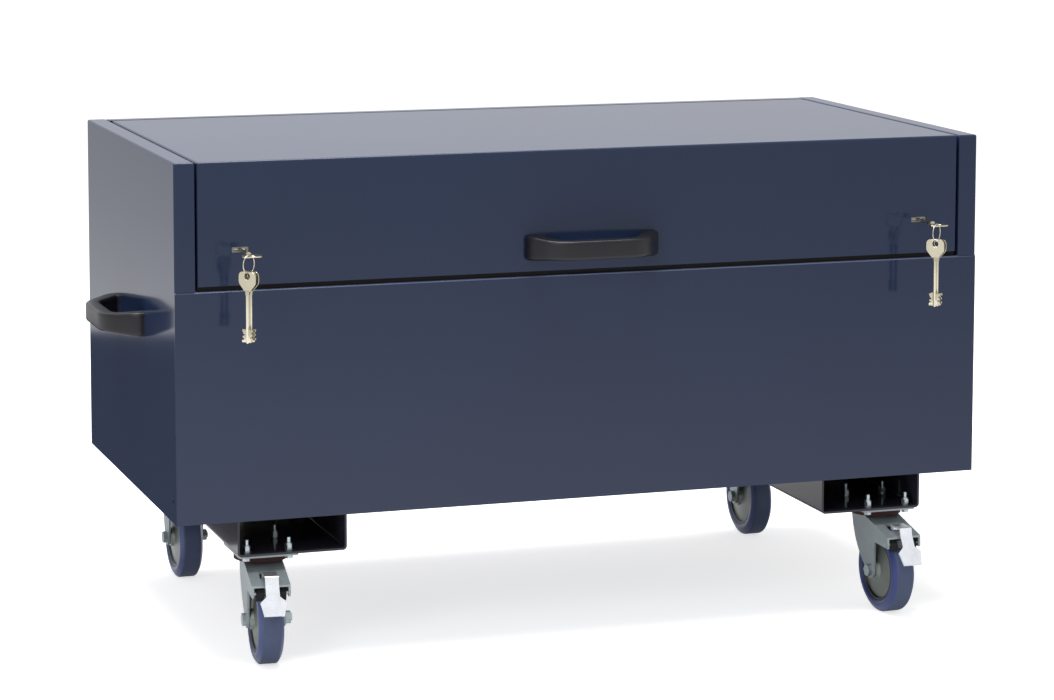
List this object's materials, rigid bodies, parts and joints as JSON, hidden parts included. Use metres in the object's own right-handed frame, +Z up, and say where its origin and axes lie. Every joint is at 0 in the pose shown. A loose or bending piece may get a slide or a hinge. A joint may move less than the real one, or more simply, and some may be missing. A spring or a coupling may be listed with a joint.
{
  "type": "rolling jobsite security box",
  "caption": "Lockable steel tool chest with a hinged lid, key locks, gas struts and bow handles, rolling on skids with swivel and fixed casters.",
  "frame": {"origin": "on the floor, under the middle of the box with its keys and handles", "axes": "+X to the right along the length, +Y to the back, +Z up"},
  "size_m": [1.312, 0.694, 0.705],
  "materials": {
    "powder_coat": "semi-gloss",
    "skid_coat": "semi-gloss",
    "black_plastic": "satin",
    "zinc_plate": "satin",
    "bright_zinc": "bright",
    "fastener_zinc": "bright",
    "key_nickel": "bright",
    "lock_steel": "satin",
    "blue_rubber": "satin",
    "rim_grey": "satin",
    "bearing_steel": "ground",
    "seal_foam": "matte",
    "dust_seal_rubber": "matte",
    "shoe_rubber": "matte",
    "strut_black": "satin",
    "chrome_rod": "polished",
    "bronze": "satin"
  },
  "bodies": {
    "box": {"ball_cages": "bearing_steel", "bracket_rear_left": "zinc_plate", "bracket_rear_right": "zinc_plate", "caster_bolts": "fastener_zinc", "dust_seals": "dust_seal_rubber", "end_panel_left": "powder_coat", "end_panel_right": "powder_coat", "floor_pan": "powder_coat", "front_panel": "powder_coat", "hinge_pins": "fastener_zinc", "king_bolts": "fastener_zinc", "lid_seal": "seal_foam", "rear_axle_bolts": "fastener_zinc", "rear_panel": "powder_coat", "side_handle_bolts": "fastener_zinc", "side_handle_left": "black_plastic", "side_handle_right": "black_plastic", "skid_left": "skid_coat", "skid_right": "skid_coat", "strut_body_brackets": "zinc_plate", "swivel_plate_left": "zinc_plate", "swivel_plate_right": "zinc_plate"},
    "lid": {"hinge_bushes": "bronze", "lid_handle": "black_plastic", "lid_handle_bolts": "fastener_zinc", "lid_ribs": "powder_coat", "lid_shell": "powder_coat", "lock_case_left": "lock_steel", "lock_case_right": "lock_steel", "strut_lid_brackets": "zinc_plate"},
    "lock_bolt_left": {"lock_bolt_left": "lock_steel"},
    "key_left": {"key_left": "key_nickel"},
    "spare_keys_left": {"spare_keys_left": "key_nickel"},
    "strut_cylinder_left": {"strut_cylinder_left": "strut_black"},
    "strut_rod_left": {"strut_rod_left": "chrome_rod"},
    "fork_left": {"fork_left": "zinc_plate", "fork_pins_left": "fastener_zinc"},
    "pedal_left": {"pedal_left": "bright_zinc", "brake_shoes_left": "shoe_rubber"},
    "wheel_front_left": {"tyre_front_left": "blue_rubber", "rim_front_left": "rim_grey", "bearings_front_left": "bearing_steel"},
    "wheel_rear_left": {"tyre_rear_left": "blue_rubber", "rim_rear_left": "rim_grey", "bearings_rear_left": "bearing_steel"},
    "lock_bolt_right": {"lock_bolt_right": "lock_steel"},
    "key_right": {"key_right": "key_nickel"},
    "spare_keys_right": {"spare_keys_right": "key_nickel"},
    "strut_cylinder_right": {"strut_cylinder_right": "strut_black"},
    "strut_rod_right": {"strut_rod_right": "chrome_rod"},
    "fork_right": {"fork_right": "zinc_plate", "fork_pins_right": "fastener_zinc"},
    "pedal_right": {"pedal_right": "bright_zinc", "brake_shoes_right": "shoe_rubber"},
    "wheel_front_right": {"tyre_front_right": "blue_rubber", "rim_front_right": "rim_grey", "bearings_front_right": "bearing_steel"},
    "wheel_rear_right": {"tyre_rear_right": "blue_rubber", "rim_rear_right": "rim_grey", "bearings_rear_right": "bearing_steel"}
  },
  "joints": [
    {"name": "lid_hinge", "type": "hinge", "parent": "box", "child": "lid", "pos_m": [0, 0.27851, 0.687], "axis": [-1, 0, 0], "range_deg": [0, 85]},
    {"name": "key_turn_left", "type": "hinge", "parent": "lid", "child": "key_left", "pos_m": [-0.508, -0.26099, 0.583], "axis": [0, -1, 0], "range_deg": [0, 90.1]},
    {"name": "bolt_slide_left", "type": "slide", "parent": "lid", "child": "lock_bolt_left", "axis": [-1, 0, 0], "range_m": [0, 0.02]},
    {"name": "spare_swing_left", "type": "hinge", "parent": "lid", "child": "spare_keys_left", "pos_m": [-0.508, -0.32849, 0.583], "axis": [0.6428, -0.766, 0], "range_deg": [-8, 8]},
    {"name": "strut_tilt_left", "type": "hinge", "parent": "box", "child": "strut_cylinder_left", "pos_m": [-0.555, 0.01851, 0.517], "axis": [1, 0, 0], "range_deg": [0, 4.09]},
    {"name": "strut_rod_left", "type": "slide", "parent": "strut_cylinder_left", "child": "strut_rod_left", "axis": [0, 0.7474, 0.6644], "range_m": [0, 0.10721]},
    {"name": "swivel_left", "type": "hinge", "parent": "box", "child": "fork_left", "pos_m": [-0.469, -0.20649, 0.141], "axis": [0, 0, 1], "continuous": true},
    {"name": "wheel_spin_front_left", "type": "hinge", "parent": "fork_left", "child": "wheel_front_left", "pos_m": [-0.47231, -0.24434, 0.0625], "axis": [0.9962, -0.0872, 0], "continuous": true},
    {"name": "pedal_press_left", "type": "hinge", "parent": "fork_left", "child": "pedal_left", "pos_m": [-0.47664, -0.29379, 0.11043], "axis": [0.9962, -0.0872, 0], "range_deg": [0, 5]},
    {"name": "wheel_spin_rear_left", "type": "hinge", "parent": "box", "child": "wheel_rear_left", "pos_m": [-0.469, 0.28451, 0.0625], "axis": [1, 0, 0], "continuous": true},
    {"name": "key_turn_right", "type": "hinge", "parent": "lid", "child": "key_right", "pos_m": [0.508, -0.26099, 0.583], "axis": [0, -1, 0], "range_deg": [0, 90.1]},
    {"name": "bolt_slide_right", "type": "slide", "parent": "lid", "child": "lock_bolt_right", "axis": [1, 0, 0], "range_m": [0, 0.02]},
    {"name": "spare_swing_right", "type": "hinge", "parent": "lid", "child": "spare_keys_right", "pos_m": [0.508, -0.32849, 0.583], "axis": [0.6428, -0.766, 0], "range_deg": [-8, 8]},
    {"name": "strut_tilt_right", "type": "hinge", "parent": "box", "child": "strut_cylinder_right", "pos_m": [0.555, 0.01851, 0.517], "axis": [1, 0, 0], "range_deg": [0, 4.09]},
    {"name": "strut_rod_right", "type": "slide", "parent": "strut_cylinder_right", "child": "strut_rod_right", "axis": [0, 0.7474, 0.6644], "range_m": [0, 0.10721]},
    {"name": "swivel_right", "type": "hinge", "parent": "box", "child": "fork_right", "pos_m": [0.469, -0.20649, 0.141], "axis": [0, 0, 1], "continuous": true},
    {"name": "wheel_spin_front_right", "type": "hinge", "parent": "fork_right", "child": "wheel_front_right", "pos_m": [0.47099, -0.24444, 0.0625], "axis": [0.9986, 0.0523, 0], "continuous": true},
    {"name": "pedal_press_right", "type": "hinge", "parent": "fork_right", "child": "pedal_right", "pos_m": [0.47359, -0.294, 0.11043], "axis": [0.9986, 0.0523, 0], "range_deg": [0, 5]},
    {"name": "wheel_spin_rear_right", "type": "hinge", "parent": "box", "child": "wheel_rear_right", "pos_m": [0.469, 0.28451, 0.0625], "axis": [1, 0, 0], "continuous": true}
  ],
  "couplings": [
    {"joint": "key_turn_left", "follows": "bolt_slide_left", "rad_per_m": 78.54},
    {"joint": "strut_tilt_left", "follows": "lid_hinge", "ratio": 0.047496},
    {"joint": "strut_rod_left", "follows": "lid_hinge", "m_per_rad": 0.072132},
    {"joint": "key_turn_right", "follows": "bolt_slide_right", "rad_per_m": 78.54},
    {"joint": "strut_tilt_right", "follows": "lid_hinge", "ratio": 0.047496},
    {"joint": "strut_rod_right", "follows": "lid_hinge", "m_per_rad": 0.072132}
  ]
}
